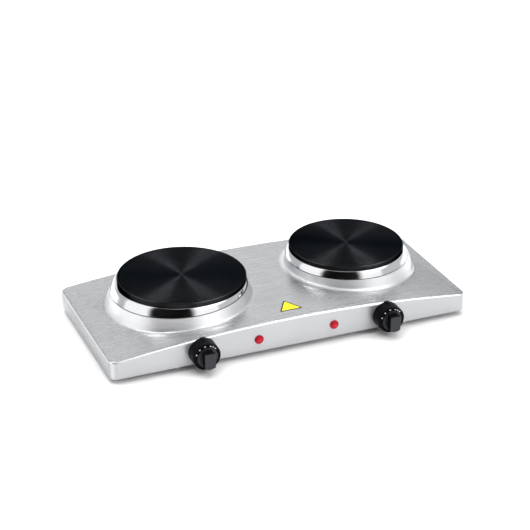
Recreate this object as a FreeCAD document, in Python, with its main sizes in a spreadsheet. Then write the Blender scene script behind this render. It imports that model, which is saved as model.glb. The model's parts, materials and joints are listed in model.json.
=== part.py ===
"""Double electric hot plate: arched steel housing, two cast-iron plates, two regulators.

Frame: X along the length, -Y towards the user, +Z up. The origin is the middle of the whole
object in plan, under the rubber feet. Dimensions are measured from the housing's middle, which
lies frame_y behind the origin because the knobs stand out further than the cord inlet.
"""
import FreeCAD
import Part
import Sketcher
import math
import os

NODE_FOLDER = "parts"
SHEET = "dims"
SEED_RADIUS = 10.0
ARCH_SEED = (260.0, 8.0, 32.0)
TINY = 1e-4
FULL_TURN = 360

DIMENSIONS = [
    # housing
    ("length", "530", "housing length"),
    ("depth", "238.4", "housing depth"),
    ("edge_z", "7", "height of the housing's lower edge"),
    ("wall_end", "25.6", "wall height at the two ends"),
    ("crown", "16.3", "extra height of the arch in the middle"),
    ("sheet", "1", "sheet thickness"),
    ("corner_r", "12", "upright corner radius"),
    ("top_bend", "3", "bend radius round the top"),
    ("bottom_bend", "1.5", "bend radius round the lower edge"),
    ("flange", "11", "width of the turned-in lower flange"),
    ("arch_r", "=(length ^ 2 / 4 + crown ^ 2) / (2 * crown)", "radius of the arched top"),
    ("crown_z", "=edge_z + wall_end + crown", "height of the top's crown"),
    ("front_y", "=-depth / 2", "outer face of the front panel"),
    ("collar_foot_z", "21", "where the collar cones start, under the top sheet"),
    ("frame_y", "=(grip_front - gland_flange) / 2", "housing's middle behind the origin"),
    ("over", "10", "extra length of a cutting tool"),
    # cooking plates
    ("plate_top", "77.8", "height of both cooking surfaces"),
    ("rim_height", "7", "visible height of a plate's rim"),
    ("plate_depth", "19", "full depth of a plate"),
    ("skirt_in", "8", "the plate's body is this much smaller than its rim"),
    ("skirt_wall", "3", "wall round the plate's underside recess"),
    ("recess_depth", "10.5", "underside recess, measured from the top"),
    ("boss_r", "24", "solid boss under the plate"),
    ("stud_r", "4", "clamping stud"),
    ("stud_play", "0.1", "play round the stud"),
    ("rim_chamfer", "1.2", "edge of the cooking surface"),
    ("groove_start", "5", "first turned ring"),
    ("groove_pitch", "3.7", "spacing of the turned rings"),
    ("groove_width", "1.2", "width of a turned ring"),
    ("groove_depth", "0.35", "depth of a turned ring"),
    ("ring_lip", "4", "width of the spill ring's lip under the rim"),
    ("ring_step", "1", "the spill ring's top is this much wider than the plate"),
    ("ring_wall", "1.4", "spill ring wall"),
    ("ring_edge", "0.6", "small edge on the spill ring"),
    ("ring_spare", "6", "length trimmed off the spill ring's skirt"),
    ("gasket_t", "1", "gasket thickness"),
    ("seat_play", "0.02", "gap between two parts that touch"),
    ("gasket_in", "0.9", "gasket set back from the ring's edge"),
    ("gasket_w", "6", "gasket width"),
    ("hole_in", "6", "housing hole is this much smaller than the plate's rim"),
    ("coil_r", "2.8", "heating coil tube"),
    ("coil_z", "14.5", "heating coil depth under the top"),
    ("filler_short", "0.5", "filler set back from the plate's underside"),
    ("cover_t", "0.8", "sheet cover under the plate"),
    ("cover_in", "9", "sheet cover is this much smaller than the rim"),
    ("large_x", "-118.1", "large plate axis"),
    ("large_y", "10", "large plate axis"),
    ("large_r", "90.5", "large plate radius"),
    ("large_shift", "-3", "large spill ring's axis away from the plate's"),
    ("large_rim_r", "96.2", "outer radius of the large spill ring"),
    ("large_drop", "17.4", "large spill ring's edge under the plate's top"),
    ("large_tilt", "-2.3", "slope of the large collar's seat"),
    ("large_flare", "0.44", "spread of the large collar for each mm down"),
    ("large_lean", "0", "sideways drift of the large collar for each mm down"),
    ("large_bend", "3", "bend radius at the large collar's foot"),
    ("small_x", "137.8", "small plate axis"),
    ("small_y", "17.1", "small plate axis"),
    ("small_r", "83.2", "small plate radius"),
    ("small_shift", "0.2", "small spill ring's axis away from the plate's"),
    ("small_rim_r", "89.2", "outer radius of the small spill ring"),
    ("small_drop", "18.2", "small spill ring's edge under the plate's top"),
    ("small_tilt", "0.6", "slope of the small collar's seat"),
    ("small_flare", "0.23", "spread of the small collar for each mm down"),
    ("small_lean", "0.12", "sideways drift of the small collar for each mm down"),
    ("small_bend", "4", "bend radius at the small collar's foot"),
    # clamping
    ("bridge_top", "30", "top of the clamp bridge under the plate's top"),
    ("bridge_t", "2.5", "clamp bridge thickness"),
    ("bridge_w", "28", "clamp bridge width"),
    ("bridge_reach", "8", "bridge ends stop this much inside the ring's edge"),
    ("washer_t", "1.6", "washer thickness"),
    ("washer_r", "8", "washer radius"),
    ("nut_r", "7.5", "clamp nut corner radius"),
    ("nut_h", "6.5", "clamp nut height"),
    ("stud_top", "9.5", "stud's upper end under the cooking surface"),
    ("stud_low", "46.5", "stud's lower end under the cooking surface"),
    ("block_x", "45", "terminal block away from the plate's axis"),
    ("block_l", "24", "terminal block length"),
    ("block_w", "14", "terminal block width"),
    ("block_h", "8", "terminal block height"),
    ("pin_r", "1.6", "terminal pin"),
    ("pin_len", "5", "terminal pin standing out of the block"),
    ("pin_gap", "12", "distance between the two pins"),
    # controls
    ("knob_x", "136.5", "knob axes either side of the middle"),
    ("knob_z", "26", "knob axes"),
    ("drum_r", "19.8", "bezel drum at the panel"),
    ("drum_front_r", "19.3", "bezel drum at its front edge"),
    ("drum_len", "18.5", "bezel drum length"),
    ("drum_wall", "1.4", "bezel drum wall"),
    ("drum_edge", "0.5", "small edge on the bezel drum"),
    ("drum_floor", "3", "bezel floor thickness"),
    ("drum_hole", "9.3", "hole in the bezel floor"),
    ("pointer_len", "8.6", "pointer on the drum"),
    ("pointer_half", "3.5", "half width of the pointer"),
    ("pointer_h", "1", "pointer standing above the drum"),
    ("pointer_root", "1", "pointer sunk in the drum"),
    ("face_r", "17.4", "knob face disc"),
    ("face_back", "14.8", "back of the knob face disc"),
    ("face_front", "18.2", "front of the knob face disc"),
    ("boss_foot_r", "14.6", "knob boss at the face"),
    ("boss_top_r", "14.4", "knob boss at its front"),
    ("boss_front", "21", "front of the knob boss"),
    ("boss_edge", "0.6", "small edge on the knob boss"),
    ("hub_r", "6", "knob hub"),
    ("hub_back", "6.5", "back of the knob hub"),
    ("grip_w", "15.6", "grip bar width"),
    ("grip_up", "10.4", "flat upper end of the grip bar above the knob's axis"),
    ("grip_front", "31", "front of the grip bar"),
    ("grip_round", "13.3", "rounding of the grip bar's lower end"),
    ("grip_edge", "0.9", "small radius on the grip bar's front"),
    ("scoop_r", "9", "finger scoops beside the grip bar"),
    ("scoop_x", "15.2", "finger scoop axes"),
    ("scoop_p", "24", "finger scoop axes in front of the panel"),
    ("shaft_r", "3", "regulator shaft"),
    ("shaft_play", "0.05", "running play round the shaft"),
    ("shaft_in", "19", "shaft behind the panel"),
    ("shaft_out", "24", "shaft in front of the panel"),
    ("shaft_flat", "2.4", "distance from the axis to the shaft's flat"),
    ("flat_len", "14", "length of the shaft's flat"),
    ("mark_r", "0.95", "white dot"),
    ("mark_t", "0.2", "thickness of the white marks"),
    ("mark_ring", "15.8", "radius of the circle of marks"),
    ("mark_in", "15.2", "inner radius of a tick"),
    ("mark_out", "16.5", "outer radius of a tick"),
    ("reg_w", "32", "regulator width"),
    ("reg_h", "30", "regulator height"),
    ("reg_low", "16", "regulator below the knob's axis"),
    ("reg_d", "24", "regulator depth"),
    ("reg_wall", "2", "regulator wall"),
    ("reg_front", "3", "regulator front wall"),
    ("bush_r", "5", "regulator bush"),
    ("bush_out", "3.4", "bush in front of the panel"),
    ("panel_play", "0.3", "play of parts in the panel's holes"),
    ("bush_nut_r", "8.1", "bush nut corner radius"),
    ("bush_nut_h", "2.4", "bush nut height"),
    ("cam_r", "8", "cam disc"),
    ("cam_nose", "5", "cam nose"),
    ("cam_shift", "5", "cam nose away from the axis"),
    ("cam_t", "4", "cam thickness"),
    ("cam_p", "14", "back of the cam behind the panel"),
    ("blade_w", "6.3", "terminal blade width"),
    ("blade_t", "0.8", "terminal blade thickness"),
    ("blade_l", "8", "terminal blade length"),
    ("blade_dx", "8", "terminal blades either side of the axis"),
    ("blade_z", "25", "middle of the terminal blades"),
    ("blade_dz", "7", "terminal blades above and below their middle"),
    # indicator lamps
    ("lamp_left_x", "-54.5", "left lamp axis"),
    ("lamp_right_x", "57.3", "right lamp axis"),
    ("lamp_z", "26", "lamp axes"),
    ("lens_r", "6.4", "lens flange"),
    ("lens_flange", "1.1", "lens flange thickness"),
    ("lens_dome_r", "5.8", "lens dome at the flange"),
    ("lens_mid_r", "4.9", "lens dome halfway"),
    ("lens_mid", "3", "lens dome halfway"),
    ("lens_tip_r", "2.3", "lens tip"),
    ("lens_tip", "4.4", "lens tip"),
    ("lens_stem_r", "3.9", "lens stem"),
    ("lens_stem", "6", "lens stem length"),
    ("lamp_r", "5", "lamp holder"),
    ("lamp_bore", "4.1", "lamp holder bore"),
    ("lamp_len", "22", "lamp holder behind the panel"),
    ("lamp_floor", "3", "lamp holder floor"),
    ("clip_r", "7.5", "lamp holder's clip"),
    ("clip_t", "1.5", "lamp holder's clip"),
    # sticker
    ("sticker_x", "3", "sticker centre"),
    ("sticker_y", "-86.9", "sticker centre"),
    ("sticker_r", "19.7", "sticker corner circle"),
    ("sticker_t", "0.25", "sticker thickness"),
    ("sticker_round", "1.5", "sticker corner radius"),
    # base and feet
    ("base_gap", "5", "base plate set back from the housing's edge"),
    ("base_t", "1", "base plate thickness"),
    ("slot_l", "60", "vent slot length"),
    ("slot_w", "3.5", "vent slot width"),
    ("slot_pitch", "9", "vent slot spacing"),
    ("slot_group", "117", "vent slot groups either side of the middle"),
    ("foot_x", "235", "feet either side of the middle"),
    ("foot_y", "92", "feet either side of the middle"),
    ("foot_r", "8.5", "foot at the table"),
    ("foot_top_r", "10.5", "foot at the base plate"),
    ("foot_bore", "2.3", "hole in the foot"),
    ("foot_sink_r", "4.8", "screw recess in the foot"),
    ("foot_sink", "3.2", "screw recess depth"),
    ("foot_head_r", "4", "foot screw head"),
    ("foot_head_z", "1", "underside of the foot screw head"),
    ("foot_shank", "1.9", "foot screw shank"),
    ("foot_screw_top", "11.5", "foot screw tip"),
    ("foot_nut_r", "4.05", "foot nut corner radius"),
    ("foot_nut_h", "3.2", "foot nut height"),
    ("base_screw_in", "6", "base screws inside the housing's edge"),
    ("base_screw_x", "170", "base screws either side of the middle"),
    ("base_head_r", "2.8", "base screw head"),
    ("base_head_h", "1.8", "base screw head"),
    ("head_round", "0.6", "rounded edge of the base screw head"),
    ("base_shank", "1.45", "base screw shank"),
    ("base_screw_top", "12", "base screw tip"),
    ("screw_hole", "1.6", "screw hole in the flange"),
    ("screw_tip", "1", "taper at a screw's tip"),
    # cord inlet and wiring
    ("gland_x", "205", "cord inlet axis"),
    ("gland_z", "23", "cord inlet axis"),
    ("gland_r", "8", "cord inlet body"),
    ("gland_flange_r", "10.5", "cord inlet flange"),
    ("gland_flange", "3", "cord inlet flange thickness"),
    ("gland_in", "14", "cord inlet behind the wall"),
    ("gland_bore", "3.8", "cord inlet bore"),
    ("gland_nut_r", "12", "cord inlet nut"),
    ("gland_nut_h", "4", "cord inlet nut"),
    ("mains_x", "180", "mains terminal block centre"),
    ("mains_y", "78", "mains terminal block centre"),
    ("mains_l", "40", "mains terminal block length"),
    ("mains_w", "18", "mains terminal block width"),
    ("mains_h", "15", "mains terminal block height"),
    ("mains_bore", "2.6", "bore for a wire"),
    ("mains_pitch", "12", "spacing of the bores"),
    ("mains_bore_z", "6", "bores above the block's foot"),
    ("mains_screw_r", "2", "terminal screw"),
    ("mains_screw_h", "5", "terminal screw length"),
    ("mains_foot_h", "0.2", "gap left under a terminal screw"),
    ("wire_r", "1.3", "insulated wire"),
    ("wire_y", "-76", "wire run behind the regulators"),
    ("earth_x", "215", "earth tag"),
    ("earth_y", "57", "earth tag"),
    ("lead_x", "14", "lamp wires inside the knob axes"),
]

PLATES = ("large", "small")
COIL_COUNT = 3
SLOTS_PER_GROUP = 9
GROOVE_MARGIN = 5.0
DOT_ANGLES = (10, 40, 70)
TICK_ANGLES = (-19, -33, -48)
TICK_SPAN = 7
QUARTER_TURN = 90
HEX = 6
TRIANGLE = 3

UP = FreeCAD.Rotation()
FORWARD = FreeCAD.Rotation(FreeCAD.Vector(1, 0, 0), 90)
BACKWARD = FreeCAD.Rotation(FreeCAD.Vector(1, 0, 0), -90)
ALONG_X = FreeCAD.Rotation(FreeCAD.Vector(0, 1, 0), 90)
ABOUT_Y = FreeCAD.Rotation(FreeCAD.Vector(0, 1, 0), 1)
ASKEW = FreeCAD.Rotation(FreeCAD.Vector(1, 2, 3), 50)
APEX_BACK = FreeCAD.Rotation(FreeCAD.Vector(0, 0, 1), 90)

doc = FreeCAD.newDocument("hot_plate_burner")
nodes = []


# ---------------------------------------------------------------- helpers

def fill_sheet():
    """Write every driving dimension into the spreadsheet."""
    sheet = doc.addObject("Spreadsheet::Sheet", SHEET)
    for row, (alias, value, note) in enumerate(DIMENSIONS, start=1):
        sheet.set("A%d" % row, note)
        sheet.set("B%d" % row, value)
        sheet.setAlias("B%d" % row, alias)
    doc.recompute()
    return sheet


def read(alias):
    """Plain value of one dimension."""
    return float(doc.getObject(SHEET).get(alias))


def dim(text):
    """Turn $name in an expression into a reference to the sheet."""
    return text.replace("$", SHEET + ".")


def bind(obj, prop, text):
    """Tie one property to an expression."""
    obj.setExpression(prop, dim(text))


def put(obj, axis, text):
    """Set one coordinate of an object's place, measured from the housing's middle."""
    bind(obj, "Placement.Base." + axis, text + " + $frame_y" if axis == "y" else text)


def place(obj, at, turn=UP):
    """Put an object at an expression-driven point, turned or leaning about Y by an angle."""
    leaning = isinstance(turn, str)
    obj.Placement = FreeCAD.Placement(FreeCAD.Vector(), ABOUT_Y if leaning else turn)
    for axis, text in zip("xyz", at):
        put(obj, axis, text)
    if leaning:
        bind(obj, "Placement.Rotation.Angle", turn)
    return obj


def box(name, size, at):
    """Box with its lowest corner at a point."""
    obj = doc.addObject("Part::Box", name)
    for prop, text in zip(("Length", "Width", "Height"), size):
        bind(obj, prop, text)
    return place(obj, at)


def rod(name, radius, height, at, turn=UP):
    """Cylinder."""
    obj = doc.addObject("Part::Cylinder", name)
    bind(obj, "Radius", radius)
    bind(obj, "Height", height)
    return place(obj, at, turn)


def prism(name, sides, radius, height, at, turn=UP):
    """Regular prism."""
    obj = doc.addObject("Part::Prism", name)
    obj.Polygon = sides
    bind(obj, "Circumradius", radius)
    bind(obj, "Height", height)
    return place(obj, at, turn)


def ball(name, radius, at):
    """Sphere, turned so that its seam lies clear of the wires that meet in it."""
    obj = doc.addObject("Part::Sphere", name)
    bind(obj, "Radius", radius)
    return place(obj, at, ASKEW)


def fuse(name, shapes):
    """Union of several objects."""
    obj = doc.addObject("Part::MultiFuse", name)
    obj.Shapes = shapes
    return obj


def common(name, first, second):
    """Overlap of two objects."""
    obj = doc.addObject("Part::MultiCommon", name)
    obj.Shapes = [first, second]
    return obj


def cut(name, base, tools):
    """Base with one or several tools taken away."""
    tool = tools[0] if len(tools) == 1 else fuse(name + "_tools", tools)
    obj = doc.addObject("Part::Cut", name)
    obj.Base = base
    obj.Tool = tool
    return obj


def group(name, members):
    """Separate solids kept in one object."""
    obj = doc.addObject("Part::Compound", name)
    obj.Links = members
    return obj


def mirror(name, source, normal):
    """Mirror image through the housing's middle."""
    obj = doc.addObject("Part::Mirroring", name)
    obj.Source = source
    obj.Normal = FreeCAD.Vector(*normal)
    bind(obj, "Base.y", "$frame_y")
    return obj


def four_corners(name, source):
    """One object at each of four mirrored corners."""
    other = mirror(name + "_x", source, (1, 0, 0))
    behind = mirror(name + "_y", source, (0, 1, 0))
    across = mirror(name + "_xy", other, (0, 1, 0))
    return group(name, [source, other, behind, across])


def node(obj, label):
    """Register an object as one sub-part."""
    obj.Label = label
    nodes.append(obj)
    return obj


def origin_plane(body, role):
    """The body's own origin plane."""
    for feature in body.Origin.OriginFeatures:
        if feature.Role == role:
            return feature
    raise ValueError(role)


def polygon(body, name, role, points):
    """Closed sketch whose corners all follow the sheet."""
    sketch = body.newObject("Sketcher::SketchObject", name)
    sketch.AttachmentSupport = (origin_plane(body, role), [""])
    sketch.MapMode = "FlatFace"
    count = len(points)
    step = 2 * math.pi / count
    seeds = [FreeCAD.Vector(SEED_RADIUS * math.cos(step * k), SEED_RADIUS * math.sin(step * k), 0)
             for k in range(count)]
    for k in range(count):
        sketch.addGeometry(Part.LineSegment(seeds[k], seeds[(k + 1) % count]), False)
    for k in range(count):
        sketch.addConstraint(Sketcher.Constraint("Coincident", k, 2, (k + 1) % count, 1))
    for k, corner in enumerate(points):
        pin_corner(sketch, k, corner, seeds[k])
    return sketch


def pin_corner(sketch, index, corner, seed):
    """Fix one corner of a sketch to a pair of expressions."""
    rules = (("DistanceX", corner[0], seed.x, -2), ("DistanceY", corner[1], seed.y, -1))
    for kind, text, value, axis in rules:
        if text == "0":
            sketch.addConstraint(Sketcher.Constraint("PointOnObject", index, 1, axis))
            continue
        rule = sketch.addConstraint(Sketcher.Constraint(kind, -1, 1, index, 1, value))
        bind(sketch, "Constraints[%d]" % rule, text)


def turned(name, points, at, turn=UP):
    """Body of revolution from a profile of (radius, height) corners."""
    body = doc.addObject("PartDesign::Body", name)
    sketch = polygon(body, name + "_profile", "XZ_Plane", points)
    feature = body.newObject("PartDesign::Revolution", name + "_turned")
    feature.Profile = sketch
    feature.ReferenceAxis = (sketch, ["V_Axis"])
    feature.Angle = FULL_TURN
    return place(body, at, turn)


def edges_where(shape, test):
    """Names of the edges that pass a test."""
    return ["Edge%d" % k for k, edge in enumerate(shape.Edges, start=1) if test(edge)]


def is_upright(edge):
    """True for a straight edge along Z."""
    first, last = edge.Vertexes[0].Point, edge.Vertexes[-1].Point
    flat = math.hypot(first.x - last.x, first.y - last.y)
    return flat < TINY < abs(first.z - last.z)


def round_edges(name, base, test, radius):
    """Round the edges of a plain solid that pass a test."""
    doc.recompute()
    rounded = doc.addObject("Part::Fillet", name)
    rounded.Base = base
    rounded.Edges = [(k, radius, radius) for k, edge in enumerate(base.Shape.Edges, start=1)
                     if test(edge)]
    return rounded


def fillet(body, name, base, test, radius):
    """Round the edges of a body's feature that pass a test."""
    doc.recompute()
    feature = body.newObject("PartDesign::Fillet", name)
    feature.Base = (base, edges_where(base.Shape, test))
    bind(feature, "Radius", radius)
    doc.recompute()
    return feature


# ---------------------------------------------------------------- housing

def arch_block(name, inset, floor):
    """Block with an arched top and rounded edges, smaller all round by the inset."""
    half = "$length / 2 - (%s)" % inset
    arch = "$arch_r - (%s)" % inset
    shoulder = "$crown_z - $arch_r + sqrt((%s) ^ 2 - (%s) ^ 2)" % (arch, half)
    body = doc.addObject("PartDesign::Body", name)
    sketch = arch_sketch(body, name + "_front", half, floor, shoulder, arch)
    pad = body.newObject("PartDesign::Pad", name + "_pad")
    pad.Profile = sketch
    bind(pad, "Length", "$depth - 2 * (%s)" % inset)
    place(body, ("0", "$depth / 2 - (%s)" % inset, "0"))
    upright = fillet(body, name + "_corners", pad, is_upright, "$corner_r - (%s)" % inset)
    top = highest_rim(upright.Shape)
    return body, fillet(body, name + "_bend", upright, top, "$top_bend - (%s)" % inset)


def arch_sketch(body, name, half, floor, shoulder, arch):
    """Front outline: flat below, two upright ends and one arc on top."""
    sketch = body.newObject("Sketcher::SketchObject", name)
    sketch.AttachmentSupport = (origin_plane(body, "XZ_Plane"), [""])
    sketch.MapMode = "FlatFace"
    x, low, high = ARCH_SEED
    corners = [FreeCAD.Vector(*xy, 0) for xy in ((-x, high), (-x, low), (x, low), (x, high))]
    for first, last in zip(corners, corners[1:]):
        sketch.addGeometry(Part.LineSegment(first, last), False)
    arc = Part.Arc(corners[-1], FreeCAD.Vector(0, 2 * high, 0), corners[0])
    arc_index = sketch.addGeometry(arc, False)
    sketch.addConstraint(Sketcher.Constraint("Coincident", 0, 2, 1, 1))
    sketch.addConstraint(Sketcher.Constraint("Coincident", 1, 2, 2, 1))
    sketch.addConstraint(Sketcher.Constraint("Coincident", 2, 2, arc_index, 1))
    sketch.addConstraint(Sketcher.Constraint("Coincident", arc_index, 2, 0, 1))
    expressions = (("-(%s)" % half, shoulder), ("-(%s)" % half, floor), (half, floor))
    for k, corner in enumerate(expressions):
        pin_corner(sketch, k, corner, corners[k])
    pin_corner(sketch, arc_index, (half, shoulder), corners[-1])
    seed_r = arc.toShape().Curve.Radius
    rule = sketch.addConstraint(Sketcher.Constraint("Radius", arc_index, seed_r))
    bind(sketch, "Constraints[%d]" % rule, arch)
    return sketch


def highest_rim(shape):
    """Test for the edges round the arched face."""
    arched = max(shape.Faces, key=lambda face: face.BoundBox.ZMax)
    rim = [edge.CenterOfMass for edge in arched.Edges]

    def on_rim(edge):
        return any(edge.CenterOfMass.distanceToPoint(point) < TINY for point in rim)
    return on_rim


def lowest_rim(shape):
    """Test for the edges round the underside."""
    low = shape.BoundBox.ZMin

    def on_rim(edge):
        return abs(edge.BoundBox.ZMax - low) < TINY
    return on_rim


def ring_axis(plate):
    """Expression pair for the axis of a spill ring and its collar."""
    return "$%s_x + $%s_shift" % (plate, plate), "$%s_y" % plate


def collar(name, plate, inset):
    """Cone rising from the top sheet to the slightly sloping seat of a spill ring."""
    seat = "$plate_top - $%s_drop" % plate
    rise = "(%s - $collar_foot_z)" % seat
    x, y = ring_axis(plate)
    cone = doc.addObject("Part::Cone", name + "_cone")
    bind(cone, "Radius1", "$%s_rim_r + $%s_flare * %s - (%s)" % (plate, plate, rise, inset))
    bind(cone, "Radius2", "$%s_rim_r - $%s_flare * 2 * $over - (%s)" % (plate, plate, inset))
    bind(cone, "Height", "%s + 2 * $over" % rise)
    place(cone, ("%s + $%s_lean * %s" % (x, plate, rise), y, "$collar_foot_z"),
          "-atan($%s_lean)" % plate)
    above = rod(name + "_above", "2 * $%s_rim_r" % plate, "5 * $over",
                (x, y, "%s - (%s)" % (seat, inset)), "$%s_tilt" % plate)
    trimmed = cut(name + "_trimmed", cone, [above])
    footprint = box(name + "_footprint",
                    ("$length - 2 * $top_bend", "$depth - 2 * $top_bend - 2 * (%s)" % inset,
                     "$plate_top"),
                    ("$top_bend - $length / 2", "$top_bend + (%s) - $depth / 2" % inset, "0"))
    return common(name, trimmed, footprint)


def hull(name, inset, floor):
    """Arched block with both collars, as one solid."""
    body, bend = arch_block(name + "_block", inset, floor)
    if inset == "0":
        fillet(body, name + "_lower_bend", bend, lowest_rim(bend.Shape), "$bottom_bend")
    collars = [collar("%s_%s_collar" % (name, plate), plate, inset) for plate in PLATES]
    return fuse(name, [body] + collars)


def soften_collars(block):
    """Round the inner corner where each collar rises from the arched top."""
    for plate in PLATES:
        doc.recompute()
        foot = collar_foot(block.Shape, read(plate + "_x"))
        block = round_edges("%s_collar_softened" % plate, block, foot, read(plate + "_bend"))
    return block


def collar_foot(shape, plate_x):
    """Test for the edge between the arched top and the cone on one side of the middle."""
    def at_foot(edge):
        faces = shape.ancestorsOfType(edge, Part.Face)
        kinds = {type(face.Surface).__name__ for face in faces}
        return kinds == {"Cone", "Cylinder"} and edge.CenterOfMass.x * plate_x > 0
    return at_foot


def base_screw_points():
    """Expression pairs for the six base screws."""
    side = "$length / 2 - $base_screw_in"
    edge = "$depth / 2 - $base_screw_in"
    points = [("-(%s)" % side, "0"), (side, "0")]
    for x in ("-$base_screw_x", "$base_screw_x"):
        for y in ("-(%s)" % edge, edge):
            points.append((x, y))
    return points


def make_housing():
    """Pressed top housing with all of its openings."""
    outside = soften_collars(hull("outside", "0", "$edge_z"))
    inside = hull("inside", "$sheet", "$edge_z + $sheet")
    tools = [inside, box("floor_opening",
                         ("$length - 2 * $flange", "$depth - 2 * $flange", "$over"),
                         ("$flange - $length / 2", "$flange - $depth / 2", "$edge_z - $over / 2"))]
    for plate in PLATES:
        tools.append(rod(plate + "_opening", "$%s_r - $hole_in" % plate, "3 * $over",
                         ("$%s_x" % plate, "$%s_y" % plate, "$plate_top - 3 * $over")))
    for side, x in (("left", "-$knob_x"), ("right", "$knob_x")):
        tools.append(rod(side + "_bush_hole", "$bush_r + $panel_play", "$over",
                         (x, "$front_y + $over / 2", "$knob_z"), FORWARD))
        tools.append(rod(side + "_lamp_hole", "$lamp_r + $panel_play", "$over",
                         ("$lamp_%s_x" % side, "$front_y + $over / 2", "$lamp_z"), FORWARD))
    tools.append(rod("gland_hole", "$gland_r + $panel_play", "$over",
                     ("$gland_x", "$depth / 2 - $over / 2", "$gland_z"), BACKWARD))
    for k, (x, y) in enumerate(base_screw_points()):
        tools.append(rod("flange_hole_%d" % k, "$screw_hole", "$over",
                         (x, y, "$edge_z - $over / 2")))
    node(cut("housing", outside, tools), "top_housing")


# ---------------------------------------------------------------- base and feet

def make_base():
    """Flat base plate with vent slots and screw holes."""
    plate = box("base_sheet",
                ("$length - 2 * $base_gap", "$depth - 2 * $base_gap", "$base_t"),
                ("$base_gap - $length / 2", "$base_gap - $depth / 2", "$edge_z - $base_t"))
    tools = []
    for side in (-1, 1):
        for k in range(SLOTS_PER_GROUP):
            shift = k - (SLOTS_PER_GROUP - 1) / 2
            tools.append(box("slot_%d_%d" % (side, k), ("$slot_w", "$slot_l", "$over"),
                             ("%d * $slot_group + %f * $slot_pitch - $slot_w / 2" % (side, shift),
                              "-$slot_l / 2", "$edge_z - $over / 2")))
    for k, (x, y) in enumerate(base_screw_points()):
        tools.append(rod("base_hole_%d" % k, "$screw_hole", "$over",
                         (x, y, "$edge_z - $over / 2")))
    for k, (sx, sy) in enumerate(((-1, -1), (-1, 1), (1, -1), (1, 1))):
        tools.append(rod("foot_hole_%d" % k, "$foot_bore", "$over",
                         ("%d * $foot_x" % sx, "%d * $foot_y" % sy, "$edge_z - $over / 2")))
    node(cut("base", plate, tools), "base_plate")
    screws = []
    for k, (x, y) in enumerate(base_screw_points()):
        head = "$edge_z - $base_t - $base_head_h"
        profile = [("0", head), ("$base_head_r - $head_round", head),
                   ("$base_head_r", head + " + $head_round"),
                   ("$base_head_r", "$edge_z - $base_t"), ("$base_shank", "$edge_z - $base_t"),
                   ("$base_shank", "$base_screw_top - $screw_tip"), ("0", "$base_screw_top")]
        screws.append(turned("base_screw_%d" % k, profile, (x, y, "0")))
    node(group("base_screw_set", screws), "base_screws")


def make_feet():
    """Rubber feet with their screws and nuts."""
    top = "$edge_z - $base_t"
    corner = ("$foot_x", "$foot_y", "0")
    foot = turned("foot", [("$foot_sink_r", "0"), ("$foot_r", "0"), ("$foot_top_r", top),
                           ("$foot_bore", top), ("$foot_bore", "$foot_sink"),
                           ("$foot_sink_r", "$foot_sink")], corner)
    node(four_corners("foot_set", foot), "rubber_feet")
    screw = turned("foot_screw", [("0", "$foot_head_z"), ("$foot_head_r", "$foot_head_z"),
                                  ("$foot_head_r", "$foot_sink"), ("$foot_shank", "$foot_sink"),
                                  ("$foot_shank", "$foot_screw_top - $screw_tip"),
                                  ("0", "$foot_screw_top")], corner)
    node(four_corners("foot_screw_set", screw), "foot_screws")
    blank = prism("foot_nut_blank", HEX, "$foot_nut_r", "$foot_nut_h",
                  ("$foot_x", "$foot_y", "$edge_z"))
    bore = rod("foot_nut_bore", "$foot_shank + $shaft_play", "2 * $over",
               ("$foot_x", "$foot_y", "$edge_z - $over / 2"))
    node(four_corners("foot_nut_set", cut("foot_nut", blank, [bore])), "foot_nuts")


# ---------------------------------------------------------------- cooking plates

def groove_corners(radius):
    """Corners of the turned rings on a cooking surface."""
    pitch, start, width = (read("groove_pitch"), read("groove_start"), read("groove_width"))
    count = int((radius - GROOVE_MARGIN - start - width) / pitch) + 1
    corners = []
    for k in range(count):
        at = "$groove_start + %d * $groove_pitch" % k
        corners.append((at, "0"))
        corners.append((at + " + $groove_width / 2", "-$groove_depth"))
        corners.append((at + " + $groove_width", "0"))
    return corners


def make_plate(plate):
    """Cast-iron plate, spill ring, gasket, coils, filler and cover."""
    rim = "$%s_r" % plate
    ring = "$%s_rim_r" % plate
    top = ("$%s_x" % plate, "$%s_y" % plate, "$plate_top")
    body = rim + " - $skirt_in"
    inner = body + " - $skirt_wall"
    profile = [("0", "0")] + groove_corners(read(plate + "_r")) + [
        (rim + " - $rim_chamfer", "0"), (rim, "-$rim_chamfer"), (rim, "-$rim_height"),
        (body, "-$rim_height"), (body, "-$plate_depth"), (inner, "-$plate_depth"),
        (inner, "-$recess_depth"), ("$boss_r", "-$recess_depth"), ("$boss_r", "-$plate_depth"),
        ("$stud_r", "-$plate_depth"), ("$stud_r", "-$stud_top"), ("0", "-$stud_top")]
    node(turned(plate + "_plate", profile, top), plate + "_hot_plate")
    make_ring(plate, rim, ring)
    make_heater(plate, inner, top)
    cover = [("$washer_r", "-$plate_depth"), (rim + " - $cover_in", "-$plate_depth"),
             (rim + " - $cover_in", "-$plate_depth - $cover_t"),
             ("$washer_r", "-$plate_depth - $cover_t")]
    node(turned(plate + "_cover", cover, top), plate + "_plate_cover")


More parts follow.
